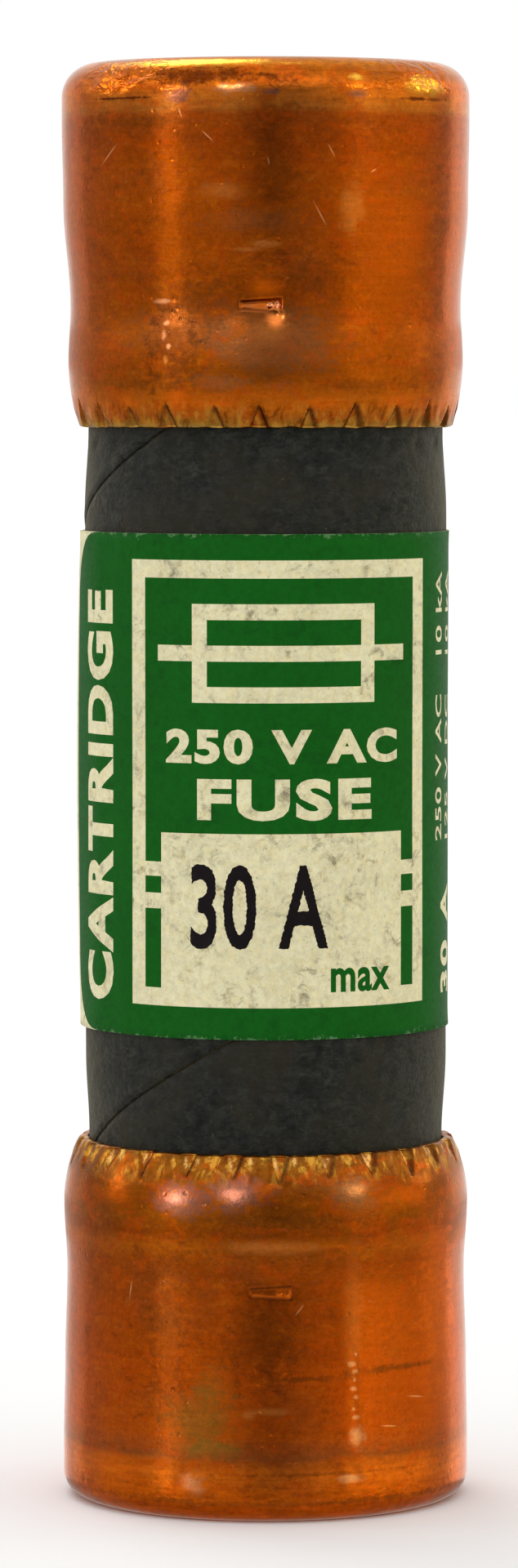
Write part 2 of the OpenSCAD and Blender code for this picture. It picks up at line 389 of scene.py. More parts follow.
def flecked_rim(n, colour, s, gold):
    """Gold flecks, partly painted glints, and brown gaps between them, at the rim only."""
    golden = n.noise(n.place((2.4, 2.4, 1.1)), 1, 4, 0.65, 0.4)
    flecks = n.math("MULTIPLY", n.span(golden, 0.5, 0.62, 0, gold), n.span(s, CRIMPED_FROM, 12.5))
    gaps = n.math("MULTIPLY", n.span(golden, 0.46, 0.36, 0, 0.7), n.span(s, CRIMPED_FROM, 12.2))
    return n.mix(gaps, n.mix(flecks, colour, FLECK), RIM_BROWN)


def crease_shade_and_glints(n, colour, s, speck):
    """Painted shade where the mesh's value is below 0, and painted glints where it is above."""
    wear_and_painted_light = n.add("ShaderNodeAttribute", attribute_name="wear_and_painted_light").outputs["Fac"]
    colour = n.mix(n.span(wear_and_painted_light, 0, -1, 0, 0.85), colour, CREASE_SHADE)
    glints = n.math("MULTIPLY", wear_and_painted_light, n.span(speck, 0.35, 0.6, 0.3, 1.2))
    return n.mix(n.span(glints, 0, 1, 0, 0.9), colour, n.mix(n.span(s, 10, 11), GLINT_COLOUR, RIM_GLINT_COLOUR))


def copper_roughness(n, s, patch, dirt):
    rough = n.math("ADD", n.span(patch, 0.3, 0.8, 0.14, 0.22), n.math("MULTIPLY", dirt, 0.2))
    at_rim = n.span(s, 11.3, 12.0, 0, 0.18)
    on_swell = n.math("MULTIPLY", n.span(s, 8.8, 9.5, 0, 0.14), n.span(s, 11.0, 10.4))
    return n.math("ADD", n.math("ADD", rough, at_rim), on_swell)


def copper_normal(n, place, u, s, fine, crumple):
    """Grain, soft dents and pits, and a crumpled bend at both sides of the front."""
    pits = n.span(n.cells(place, 1.6), 0.16, 0.0)
    facets = n.centred(n.noise(n.place((1, 1, 2)), 1.1, 3, 0.5, 0.8))
    aside = n.math("ABSOLUTE", u)
    at_sides = n.math("MULTIPLY", n.span(aside, 2.8, 4.6, 0.12, 1), n.span(aside, 8.6, 7.2))
    on_bend = n.math("MULTIPLY", n.span(s, 1.35, 0.9), n.span(s, 0.02, 0.15))
    crumpled = n.math("MULTIPLY", facets, n.math("MULTIPLY", on_bend, at_sides))
    normal = n.bump(fine, 0.000003)
    normal = n.bump(n.noise(place, 1.1, 3), 0.000014, normal)
    normal = n.bump(crumpled, crumple * MM, normal)
    return n.bump(pits, -0.000008, normal)


def mark_distance(n, u, s, at_u, at_s, half_w, half_l, slant=0.0):
    """0 in the middle of an oval mark, and 1 on its outline. slant turns it, in degrees."""
    turn = math.radians(slant)
    right = n.math("SUBTRACT", u, at_u)
    down = n.math("SUBTRACT", s, at_s)
    across = n.math("MULTIPLY_ADD", right, math.cos(turn), n.math("MULTIPLY", down, math.sin(turn)))
    along = n.math("MULTIPLY_ADD", down, math.cos(turn), n.math("MULTIPLY", right, -math.sin(turn)))
    across = n.math("DIVIDE", across, half_w)
    along = n.math("DIVIDE", along, half_l)
    return n.math("SQRT", n.math("MULTIPLY_ADD", across, across, n.math("MULTIPLY", along, along)))


def outer_fibre():
    made, n = material("outer_fibre")
    place = n.place()
    cloud = n.noise(place, 0.4, 4, 0.6)
    lumps = n.noise(place, 2.2, 5, 0.7, 0.6)
    hairs = n.noise(n.place((2.5, 2.5, 5)), 1, 5, 0.75, 1.2)
    shade = n.math("MULTIPLY_ADD", lumps, 0.5, n.math("MULTIPLY", hairs, 0.5))
    colour = n.ramp(shade, (0.38, (0.002, 0.003, 0.002)), (0.5, (0.011, 0.012, 0.009)),
                    (0.64, (0.032, 0.034, 0.024)))
    colour = n.mix(n.span(cloud, 0.45, 0.65, 0, 0.6), colour, (0.024, 0.019, 0.008))
    lint = n.span(n.noise(n.place((2.4, 2.4, 1.0)), 2.4, 2, 0.9, 1.5), 0.71, 0.77)
    colour = n.mix(n.math("MULTIPLY", lint, 0.6), colour, (0.22, 0.16, 0.05))
    dust = n.span(n.noise(place, 3, 5, 0.8), 0.45, 0.7, 0, 0.2)
    colour = n.mix(dust, colour, (0.04, 0.045, 0.055))
    normal = n.bump(shade, 0.0001)
    normal = n.bump(cloud, 0.0001, normal)
    n.surface(Base_Color=colour, Roughness=0.6, Specular_IOR_Level=0.2, Sheen_Weight=0.25,
              Sheen_Roughness=0.3, Sheen_Tint=(1.0, 0.84, 0.45, 1.0), Normal=normal)
    return made


def plain_fibre(name, dark, light, specular=0.3):
    made, n = material(name)
    place = n.place()
    grain = n.noise(place, 5, 5, 0.65)
    layers = n.noise(n.place((0.3, 0.3, 4)), 1, 3)
    shade = n.math("MULTIPLY_ADD", layers, 0.4, n.math("MULTIPLY", grain, 0.6))
    colour = n.ramp(shade, (0.3, dark), (0.7, light))
    n.surface(Base_Color=colour, Roughness=0.8, Specular_IOR_Level=specular, Normal=n.bump(grain, 0.00003))
    return made


def printed(name, ink, smudge, chips, dirty):
    """Paper or ink. smudge is the dirt's colour, chips what shows through, and dirty the amount of dirt."""
    made, n = material(name)
    place = n.place()
    cloud = n.noise(place, 0.35, 4, 0.6, 0.5)
    grain = n.noise(place, 9, 4, 0.7)
    colour = n.mix(n.span(cloud, 0.4, 0.7, 0, 0.25), ink, tuple(0.7 * k for k in ink))
    cluster = n.span(n.noise(place, 0.6, 3, 0.6, 0.4), 0.38, 0.6)
    stain = n.math("MULTIPLY", n.span(n.noise(place, 1.9, 6, 0.75, 0.5), 0.47, 0.7), cluster)
    colour = n.mix(n.math("MULTIPLY", stain, 0.9 * dirty), colour, smudge)
    yellowed = n.span(n.noise(place, 3, 3, 0.6), 0.45, 0.65)
    aged_ink = tuple(k * tint for k, tint in zip(ink, AGED))
    colour = n.mix(n.math("MULTIPLY", yellowed, 0.25 * dirty), colour, aged_ink)
    speck = n.span(n.noise(place, 5.5, 4, 0.75), 0.6, 0.7)
    colour = n.mix(n.math("MULTIPLY", speck, 0.5 * dirty), colour, smudge)
    uneven = n.span(n.noise(place, 4, 5, 0.8), 0.35, 0.65, 0.9, 1.08)
    colour = n.mix(1.0, colour, uneven, "MULTIPLY")
    wear_and_painted_light = n.add("ShaderNodeAttribute", attribute_name="wear_and_painted_light").outputs["Fac"]
    rubbed = n.math("ADD", n.noise(place, 2.6, 6, 0.8, 0.3), n.math("MULTIPLY", wear_and_painted_light, 0.2))
    colour = n.mix(n.span(rubbed, 0.7, 0.75, 0, 0.6), colour, chips)
    rough = n.span(grain, 0.3, 0.7, 0.45, 0.6)
    n.surface(Base_Color=colour, Roughness=rough, Specular_IOR_Level=0.06, Normal=n.bump(grain, 0.000006))
    return made


def soft_metal(name, dark, light, rough):
    made, n = material(name)
    place = n.place()
    grain = n.noise(place, 2.5, 5, 0.6)
    rolled = n.noise(n.place((6, 6, 0.4)), 1, 3)
    colour = n.ramp(grain, (0.3, dark), (0.7, light))
    roughness = n.span(rolled, 0.3, 0.7, rough - 0.08, rough + 0.08)
    n.surface(Base_Color=colour, Metallic=1.0, Roughness=roughness, Normal=n.bump(rolled, 0.000006))
    return made


def sand():
    made, n = material("quartz_sand")
    place = n.place()
    grains = n.cells(place, 4)
    tint = n.noise(place, 4, 2)
    tone = n.ramp(tint, (0.35, (0.86, 0.82, 0.7)), (0.65, (0.6, 0.5, 0.35)))
    colour = n.mix(n.span(grains, 0.1, 0.5), tone, (0.3, 0.26, 0.2))
    n.surface(Base_Color=colour, Roughness=0.7, Normal=n.bump(grains, -0.0001))
    return made


# ---------------------------------------------------------------- ferrules

def barrel_radius(s, end):
    groove_s, groove_r = end["groove"]
    swell_s, swell_r = end["swell"]
    r = FERRULE_R - BARREL_SAG * smooth((s - 2) / (BARREL_END - 2))
    rolled = ease(FERRULE_R - BARREL_SAG, groove_r, (s - BARREL_END) / (groove_s - BARREL_END))
    r = np.where(s > BARREL_END, rolled, r)
    r = np.where(s > groove_s, ease(groove_r, swell_r, (s - groove_s) / (swell_s - groove_s)), r)
    rolled_in = swell_r - (swell_r - RIM_R) * ((s - swell_s) / (FERRULE_LEN - swell_s)) ** 2
    return np.where(s > swell_s, rolled_in, r)


def crimp_marks(s, phi, end):
    """(depth, painted shade and glints) of the crimps: rounded dents that widen and deepen towards the rim.
    """
    random = np.random.default_rng(end["seed"])
    depth = np.zeros(np.broadcast(s, phi).shape)
    wear_and_painted_light = np.zeros_like(depth)
    for i in range(CRIMPS):
        middle = math.radians(end["crimp_phi"] + CRIMP_PITCH * (i + random.uniform(-0.05, 0.05)))
        length = CRIMP_LEN * random.uniform(0.8, 1.15)
        deep = end["crimp_depth"] * random.uniform(0.7, 1.2)
        half_w = CRIMP_HALF_W * random.uniform(0.85, 1.1)
        across = nearest(phi - middle) * RIM_R
        t = np.clip((s - FERRULE_LEN + length) / length, 0, 1)
        width = half_w * t + 0.001
        inside = smooth((1 - np.abs(across) / width) / 0.35) * (t > 0)
        depth += deep * inside * (0.5 + 0.5 * t)
        wear_and_painted_light += end["hollow"] * inside
        # painted shade along both edges of a crimp, darker on its right
        wear_and_painted_light -= end["crease"] * bell(across - 0.9 * width, 0.1) * smooth(t * 4)
        wear_and_painted_light -= 0.6 * end["crease"] * bell(across + 0.95 * width, 0.08) * smooth(t * 4)
        # painted glints on a crimp's ridge near the rim
        glint = bell(across + 0.5 * width, 0.1) * bell(s - FERRULE_LEN + 0.35, 0.28)
        glint += bell(across - random.uniform(-0.1, 0.6), 0.08) * bell(s - FERRULE_LEN + 0.2, 0.15)
        wear_and_painted_light += end["ridge"] * random.uniform(0.1, 1) * glint
    return depth, wear_and_painted_light


def stake_mark(s, phi, end):
    """(depth, painted shade and glints) of the punch marks, front and back: a slit with two pits at its end,
    in a shallow dimple.

    x runs along the slit, and h down from it. The slit's edges get painted shade, and a punch mark with
    stake_shine also gets painted glints in its pits and a slope under them.
    """
    depth = np.zeros(np.broadcast(s, phi).shape)
    wear_and_painted_light = np.zeros_like(depth)
    for side in (0, np.pi):
        x = nearest(phi - side - math.radians(end["stake_phi"])) * end["groove"][1]
        h = (s - end["groove"][0]) * end["end"]
        half_h = 0.19 + 0.1 * np.clip((x + STAKE_HALF_L) / (2 * STAKE_HALF_L), 0, 1)
        edge = np.minimum(STAKE_HALF_L - np.abs(x), half_h - np.abs(h))
        slit = smooth(edge / 0.15)
        floor = 0.6 - 0.35 * h / half_h
        pits = np.clip(1 - ((x - 0.32) ** 2 + h ** 2) / PIT_R ** 2, 0, 1)
        pits += np.clip(1 - ((x - 0.58) ** 2 + (0.7 * h) ** 2) / PIT_R ** 2, 0, 1)
        dimple = bell(x, 1.0) * bell(h + 0.25, 0.75)
        slope = end["stake_shine"] * bell(x - 0.5, 0.25)
        slope = slope * smooth((0.72 - h) / 0.42) * smooth((h - 0.12) / 0.15)
        depth += end["stake_depth"] * (slit * floor + 0.35 * pits + 0.24 * dimple + 0.52 * slope)
        # painted shade along the slit's edges
        wear_and_painted_light -= 0.8 * bell(np.abs(h) - half_h + 0.06, 0.07) * smooth((0.8 - np.abs(x)) / 0.1)
        # painted glints in the pits
        wear_and_painted_light += 1.6 * end["stake_shine"] * pits
    return depth, wear_and_painted_light


def dings(s, phi, end):
    """Depth of the small dents."""
    depth = np.zeros(np.broadcast(s, phi).shape)
    for degrees, at, radius, deep in end["dings"]:
        across = nearest(phi - math.radians(degrees)) * FERRULE_R
        depth += deep * np.exp(-(across ** 2 + (s - at) ** 2) / radius ** 2)
    return depth


def ferrule_columns(end):
    """Angles round a ferrule, close together at the crimps and the punch marks."""
    one = spaced((-CRIMP_SPREAD, 0.5), (CRIMP_SPREAD, 0.85), (CRIMP_PITCH - CRIMP_SPREAD,))[:-1]
    degrees = (end["crimp_phi"] + CRIMP_PITCH * np.arange(CRIMPS)[:, None] + one[None, :]).ravel()
    at_stake = np.arange(-STAKE_SPREAD, STAKE_SPREAD, 0.35)
    for side in (0, 180):
        middle = side + end["stake_phi"]
        from_stake = (degrees - middle + 180) % 360 - 180
        degrees = np.concatenate([degrees[np.abs(from_stake) > STAKE_SPREAD], middle + at_stake])
    return np.radians(np.sort(degrees % 360))


def ferrule_outline(end):
    """The section of a ferrule's wall: end face, bend, barrel, rim's lip, and back along the inside.

    It is (radius, s, share, outside): share is how much of the crimps and punch marks reaches a point, and
    outside says whether the point is on the outer side.
    """
    groove_s, shoulder = end["groove"][0], end["shoulder"]
    rim_s = FERRULE_LEN - LIP
    barrel_s = spaced((shoulder, COARSE), (groove_s - 0.6, FINE), (groove_s + 0.6, MEDIUM),
                      (CRIMPED_FROM, FINE), (rim_s,))
    bend = np.linspace(-np.pi / 2, 0, 15)
    inner_bend = bend[::-2][1:]
    lip = np.radians([20, 50, 90, 130, 160])
    inner_s = np.linspace(rim_s, shoulder, 9)
    thinned = smooth((inner_s - end["swell"][0]) / (FERRULE_LEN - end["swell"][0]))
    corner_r, inner_bend_r = FERRULE_R - shoulder, shoulder - WALL
    parts = [
        (FACE_RINGS, np.zeros(len(FACE_RINGS)), 0),
        (corner_r + shoulder * np.cos(bend[:-1]), shoulder * (1 + np.sin(bend[:-1])), 0),
        (barrel_radius(barrel_s, end), barrel_s, 1),
        (RIM_R - RIM_WALL / 2 + RIM_WALL / 2 * np.cos(lip), rim_s + LIP * np.sin(lip), 0.4),
        (barrel_radius(inner_s, end) - WALL + (WALL - RIM_WALL) * thinned, inner_s, 0),
        (corner_r + inner_bend_r * np.cos(inner_bend), shoulder + inner_bend_r * np.sin(inner_bend), 0),
        (FACE_RINGS[::-1], np.full(len(FACE_RINGS), WALL), 0),
    ]
    r, s = (np.concatenate([part[i] for part in parts])[:, None] for i in (0, 1))
    share = np.concatenate([np.full(len(part[0]), part[2]) for part in parts])[:, None]
    outside = np.arange(len(r))[:, None] < len(FACE_RINGS) + len(bend) + len(barrel_s)
    return r, s, share, outside


def revolved_faces(rows, columns):
    """Quads between closed rows of points, and triangles to the two poles, which come last."""
    faces = []
    for i in range(rows - 1):
        for j in range(columns):
            k = (j + 1) % columns
            faces.append((i * columns + j, (i + 1) * columns + j, (i + 1) * columns + k, i * columns + k))
    first_pole, last_row = rows * columns, (rows - 1) * columns
    for j in range(columns):
        k = (j + 1) % columns
        faces.append((first_pole, j, k))
        faces.append((first_pole + 1, last_row + k, last_row + j))
    return faces


def ferrule(name, end, finish):
    phi = ferrule_columns(end)[None, :]
    r, s, share, outside = ferrule_outline(end)
    crimp_depth, crimp_shade_and_glints = crimp_marks(s, phi, end)
    stake_depth, stake_shade_and_glints = stake_mark(s, phi, end)
    uneven = waves(phi, s, end["seed"] + 20, 0.012, 5, 9) * smooth((s - 2.5) / 3)
    near_rim = outside * smooth((s - FERRULE_LEN + 1.1) / 0.6)
    rough = waves(phi, s, end["seed"] + 60, end["rough_rim"], 90, 0.7) * near_rim
    r = r - share * (crimp_depth + stake_depth) + uneven + rough - outside * dings(s, phi, end)
    wear_and_painted_light = np.clip(crimp_shade_and_glints + stake_shade_and_glints, -1, 1) * (share > 0)
    s = s + waves(phi, s, end["seed"] + 40, 0.012, 60, 50) * smooth((s - 12) / 0.8)
    z = end["end"] * (HALF - s)
    poles = [(0, 0, end["end"] * HALF), (0, 0, end["end"] * (HALF - WALL))]
    points = np.concatenate([around(r, phi, z).reshape(-1, 3), poles])
    faces = revolved_faces(*r.shape)
    if end["end"] < 0:
        faces = [face[::-1] for face in faces]
    piece = mesh_object(name, points, faces, [finish], wear_and_painted_light=np.concatenate([wear_and_painted_light.ravel(), (0, 0)]))
    return piece


# ---------------------------------------------------------------- tube

def tube_radius(z):
    past_rim = np.abs(z) - (HALF - FERRULE_LEN)
    r = ease(TUBE_R, NIP_R, 1 + past_rim / NIP_REACH)
    return np.where(past_rim > 0.3, ease(NIP_R, SEAT_R, (past_rim - 0.3) / 1.2), r)


def tool_dents(phi, z):
    """A faint row of dents that the crimping tool left in the tube, beside each rim."""
    total = np.zeros(np.broadcast(phi, z).shape)
    for end, deep in ((UPPER, 0.11), (LOWER, 0.03)):
        row = end["end"] * (HALF - FERRULE_LEN - 0.55)
        for i in range(CRIMPS):
            middle = math.radians(end["crimp_phi"] + CRIMP_PITCH * (i + 0.1))
            total += deep * bell(nearest(phi - middle) * NIP_R, 0.25) * bell(z - row, 0.13)
    return total


def tube_outer_ply(fibre):
    """One strip wound round the tube. Its neighbouring edges meet in a helical seam."""
    start = math.radians(-360 * (TUBE_HALF + SEAM_LEAD + SEAM_Z) / SEAM_LEAD)
    turns = (2 * TUBE_HALF + SEAM_LEAD) / SEAM_LEAD
    columns = int(turns * COLUMNS_PER_TURN)
    phi = start + np.linspace(0, 2 * np.pi * turns, columns)[None, :]
    edge = spaced((0, 0.02), (0.16, 0.06), (0.4, 0.16), (SEAM_LEAD / 2,))
    w = np.concatenate([edge, SEAM_LEAD - edge[-2::-1]])[:, None]
    seam_z = SEAM_Z + SEAM_LEAD * phi / (2 * np.pi)
    z = seam_z + w
    from_edge = np.minimum(w, SEAM_LEAD - w)
    groove = SEAM_DEPTH * (1 - smooth(from_edge / SEAM_HALF_W)) + 0.03 * (1 - smooth(from_edge / 0.3))
    proud = 0.02 * bell(w - 0.25, 0.25)
    r = tube_radius(z) - groove + proud - tool_dents(phi, z) + waves(phi, z, 5, 0.012, 7, 8)
    outer = around(r, phi, z).reshape(-1, 3)
    inner_z = seam_z + np.array([[0], [SEAM_LEAD / 2], [SEAM_LEAD]])
    inner = around(np.full(inner_z.shape, TUBE_R - PLY), phi, inner_z).reshape(-1, 3)
    faces = []
    for first, rows, flip in ((0, len(w), False), (len(outer), len(inner_z), True)):
        for i in range(rows - 1):
            for j in range(columns - 1):
                a = first + i * columns + j
                face = (a, a + 1, a + columns + 1, a + columns)
                faces.append(face[::-1] if flip else face)
    for outer_row, inner_row, flip in ((0, 0, True), (len(w) - 1, 2, False)):
        a, b = outer_row * columns, len(outer) + inner_row * columns
        for j in range(columns - 1):
            face = (a + j, a + j + 1, b + j + 1, b + j)
            faces.append(face[::-1] if flip else face)
    piece = mesh_object("outer_ply", np.concatenate([outer, inner]), faces, [fibre])
    trim(piece.data, TUBE_HALF)
    return piece


def trim(mesh, half):
    """Cuts a mesh square at both ends, and closes it there."""
    bm = bmesh.new()
    bm.from_mesh(mesh)
    for side in (-1, 1):
        everything = bm.verts[:] + bm.edges[:] + bm.faces[:]
        cut = bmesh.ops.bisect_plane(bm, geom=everything, plane_co=(0, 0, side * half * MM),
                                     plane_no=(0, 0, side), clear_outer=True)
        rim = [e for e in cut["geom_cut"] if isinstance(e, bmesh.types.BMEdge)]
        bmesh.ops.holes_fill(bm, edges=rim)
    bm.to_mesh(mesh)
    bm.free()


# ---------------------------------------------------------------- label

CREAM, GREEN, BLACK = 0, 1, 2


def box_shape(left, right, low, high):
    return [(left, low), (right, low), (right, high), (left, high)]


def text_shapes(words, left, right, low, high, weight=0.0, upright=False):
    """Words as small filled shapes, stretched to fit a box. Upright words read from the bottom to the top."""
    curve = bpy.data.curves.new("words", "FONT")
    curve.body = words
    curve.offset = weight
    curve.space_character = 1 + 3 * weight
    curve.resolution_u = 4
    holder = bpy.data.objects.new("words", curve)
    scene.collection.objects.link(holder)
    bpy.context.view_layer.update()
    mesh = bpy.data.meshes.new_from_object(holder.evaluated_get(bpy.context.evaluated_depsgraph_get()))
    points = np.array([vertex.co[:2] for vertex in mesh.vertices])
    points = (points - points.min(0)) / np.ptp(points, axis=0)
    if upright:
        points = np.stack([1 - points[:, 1], points[:, 0]], -1)
    points = points * (right - left, high - low) + (left, low)
    shapes = []
    for polygon in mesh.polygons:
        a, b, c = (points[i] for i in polygon.vertices[:3])
        twice_area = (b[0] - a[0]) * (c[1] - a[1]) - (b[1] - a[1]) * (c[0] - a[0])
        if abs(twice_area) > 1e-6:
            shapes.append([tuple(p) for p in ((a, b, c) if twice_area > 0 else (a, c, b))])
    bpy.data.meshes.remove(mesh)
    bpy.data.objects.remove(holder)
    bpy.data.curves.remove(curve)
    return shapes


def finely_cut(shape, step):
    """The same outline with no side longer than step."""
    out = []
    for a, b in zip(shape, shape[1:] + shape[:1]):
        count = math.ceil(math.dist(a, b) / step)
        out += [(a[0] + (b[0] - a[0]) * i / count, a[1] + (b[1] - a[1]) * i / count) for i in range(count)]
    return out


def artwork(left, right, height):
    """Everything printed on the label, as (colour, outline) in the order it is laid down.

    An outline runs counter-clockwise. Its points are (distance round the tube from the front, height above
    the sheet's lower edge).
    """
    corner, margin = 2.2, 0.55
    arc = np.linspace(0, np.pi / 2, 9)
    middle = left + margin + corner
    field = [(middle - corner * math.cos(a), corner - corner * math.sin(a)) for a in arc]
    field += [(right - margin, 0), (right - margin, height)]
    field += [(middle - corner * math.sin(a), height - corner + corner * math.cos(a)) for a in arc]
    frame_left, frame_right, frame_low, frame_high, stroke = -5.13, 6.5, 1.1, 16.5, 0.62
    in_frame = (frame_left + stroke, frame_right - stroke, frame_low + stroke, frame_high - stroke)
    work = [(GREEN, field), (CREAM, box_shape(frame_left, frame_right, frame_low, frame_high))]
    work.append((GREEN, box_shape(*in_frame)))
    work.append((CREAM, box_shape(-3.82, 5.25, frame_low, 7.1)))
    # Two bars join the panel at the bottom to the frame on both sides.
    for bar_low, bar_high in ((5.58, 6.08), (4.46, 5.0)):
        work.append((CREAM, box_shape(frame_left, frame_right, bar_low, bar_high)))
    work += fuse_symbol(-3.95, 5.35, 11.6, 15.0, 0.55)
    for colour, words, place, weight, upright in (
        (CREAM, "250 V AC", (-3.62, 5.04, 9.5, 10.7), 0.045, False),
        (CREAM, "FUSE", (-2.41, 3.89, 7.55, 9.0), 0.045, False),
        (BLACK, "30 A", (-2.66, 2.2, 3.1, 6.05), 0.02, False),
        (GREEN, "max", (2.3, 4.7, 1.6, 2.45), 0.03, False),
        (CREAM, "CARTRIDGE", (-8.1, -6.2, 1.1, 15.4), 0.045, True),
        (CREAM, "250 V AC   10 kA", (7.55, 8.2, 6.6, 16.0), 0.012, True),
        (CREAM, "125 V DC   10 kA", (8.75, 9.4, 6.6, 16.0), 0.012, True),
        (CREAM, "30 A", (8.1, 9.4, 1.2, 5.0), 0.03, True),
    ):
        work += [(colour, shape) for shape in text_shapes(words, *place, weight, upright)]
    return work


def fuse_symbol(left, right, low, high, stroke):
    """The circuit symbol of a fuse: a box with a line through it. Its ends stick out by lead."""
    middle = (low + high) / 2
    lead = 1.35
    return [
        (CREAM, box_shape(left + lead, right - lead, low, high)),
        (GREEN, box_shape(left + lead + stroke, right - lead - stroke, low + stroke, high - stroke)),
        (CREAM, box_shape(left, right, middle - stroke / 2, middle + stroke / 2)),
    ]


def ragged(x, y):
    """How far the stamp's ink has strayed at each place, as (right, up)."""
    right = np.sin(27 * x + 11 * y) + np.sin(38 * y - 17 * x)
    up = np.sin(31 * y + 9 * x) + np.sin(23 * x - 29 * y)
    return INK_STRAY * np.stack([right, up], -1)


def label_radius(turn, z):
    """Radius of the paper's outer side. turn grows from the outer end, which lies over the inner one."""
    on_lap = 1 - smooth((turn - LAP) / math.radians(9))
    off_middle = (z - LABEL_LOW) / (LABEL_HIGH - LABEL_LOW) * 2 - 1
    curl = 0.13 * bell(turn, math.radians(9)) * (1 - off_middle ** 2)
    lifted = 0.02 * bell(z - LABEL_HIGH, 0.3) + 0.02 * bell(z - LABEL_LOW, 0.3)
    tucked = smooth((2 * np.pi - turn) / math.radians(2))
    return PRINT_R + on_lap * (PAPER + 0.01) + curl + lifted * tucked + waves(turn, z, 12, 0.006, 6, 7)


def label(materials):
    left, right = PRINT_R * FREE_END, PRINT_R * (FREE_END + 2 * math.pi + LAP)
    height = LABEL_HIGH - LABEL_LOW
    layers = [(CREAM, box_shape(left, right, 0, height))] + artwork(left, right, height)
    points, outlines = [], []
    for colour, shape in layers:
        shape = finely_cut(shape, STAMP_MESH if colour == BLACK else LABEL_MESH)
        outlines.append(list(range(len(points), len(points) + len(shape))))
        points += [Vector(p) for p in shape]
    for u in np.arange(left + LABEL_MESH, right - LABEL_MESH / 2, LABEL_MESH):
        points += [Vector((u, v)) for v in np.arange(LABEL_MESH, height - LABEL_MESH / 2, LABEL_MESH)]
    flat, _, faces, _, _, sources = geometry.delaunay_2d_cdt(points, [], outlines, 0, 1e-5, True)
    colours = [layers[max(source)][0] for source in sources]
    flat = np.array([tuple(p) for p in flat])
    inked = [i for face, colour in zip(faces, colours) if colour == BLACK for i in face]
    flat[inked] += ragged(*flat[inked].T)
    flat += (0, LABEL_LOW)
    turn = flat[:, 0] / PRINT_R - FREE_END
    r = label_radius(turn, flat[:, 1])
    phi = turn + FREE_END
    outer = around(r, phi, flat[:, 1])
    inner = around(r - PAPER, phi, flat[:, 1])
    count = len(outer)
    border = {}
    for a, b, c in faces:
        for edge in ((a, b), (b, c), (c, a)):
            border[edge] = True
    sides = [(b, a, a + count, b + count) for a, b in border if (b, a) not in border]
    back = [tuple(i + count for i in reversed(face)) for face in faces]
    everything = [tuple(face) for face in faces] + back + sides
    indices = colours + [CREAM] * (len(back) + len(sides))
    worn_edge = np.maximum(bell(flat[:, 1] - LABEL_HIGH, 0.15), bell(flat[:, 1] - LABEL_LOW, 0.12))
    points = np.concatenate([outer, inner])
    piece = mesh_object("label_sheet", points, everything, materials, indices, np.tile(worn_edge, 2))
    return piece


# ---------------------------------------------------------------- the studio

def stage_floor():
    mesh = bpy.data.meshes.new("floor")
    far, z = 6.0, cad_low.z
    mesh.from_pydata([(-far, -far, z), (far, -far, z), (far, far, z), (-far, far, z)], [], [(0, 1, 2, 3)])
    made, n = material("floor")
    n.surface(Base_Color=(0.92, 0.92, 0.92), Roughness=0.9, Specular_IOR_Level=0.1)
    mesh.materials.append(made)
    floor = bpy.data.objects.new("floor", mesh)
    floor.visible_glossy = False                        # the copper mirrors the world's lower half instead
    scene.collection.objects.link(floor)


# The room seen from the fuse, as (degrees from the camera's side, brightness): dark behind the camera, a soft
# strip to each side, and a white wall behind the fuse.
ROOM = [(-180, 1.1), (-165, 1.0), (-152, 0.74), (-131, 0.7), (-125, 0.46), (-68, 0.46), (-57, 1.1),
        (-47, 0.55), (-22, 0.44), (-6, 0.27), (4, 0.22), (14, 0.3), (30, 0.42), (44, 0.52), (58, 0.9),
        (74, 0.72), (100, 0.66), (118, 0.5), (127, 0.55), (133, 1.1), (180, 1.1)]
FLOOR_LEVEL, CEILING_LEVEL = 0.5, 1.0
WARM = (1.0, 0.92, 0.62)

# The lamps, as (azimuth from the camera's side, elevation, angle across, brightness, warmth), in degrees
LAMPS = {
    "left": (-53, 10, 10, 4.2, 0),
    "upper_left": (-20, 17, 11, 3, 0),
    "right": (55, 17, 9, 3, 1),
    "far_left": (-97, 20, 18, 2.5, 0),
    "far_right": (107, 18, 18, 2.5, 1),
    "back": (-150, 55, 30, 2.5, 0),
}


def studio_world():
    world = bpy.data.worlds.new("studio")
    scene.world = world
    world.use_nodes = True
    n = Nodes(world.node_tree)
    x, y, up = n.axes(n.add("ShaderNodeTexCoord").outputs["Generated"])
    heading = n.math("ARCTAN2", x, n.math("MULTIPLY", y, -1))
    share = n.math("MULTIPLY_ADD", heading, 1 / (2 * math.pi), 0.5)
    room = n.ramp(share, *[(degrees / 360 + 0.5, (level,) * 3) for degrees, level in ROOM])
    on_the_right = n.math("MULTIPLY", n.span(share, 0.56, 0.64), n.span(share, 0.84, 0.78))
    room = n.mix(on_the_right, room, WARM, "MULTIPLY")
    room = n.mix(n.span(up, -0.19, -0.23), room, (FLOOR_LEVEL,) * 3)
    room = n.mix(n.span(up, 0.15, 0.6), room, (CEILING_LEVEL,) * 3)
    seen = n.add("ShaderNodeLightPath").outputs["Is Camera Ray"]
    light = n.add("ShaderNodeBackground", {0: n.mix(seen, room, (1, 1, 1)), 1: 1.0})
    n.add("ShaderNodeOutputWorld", {0: light.outputs[0]})


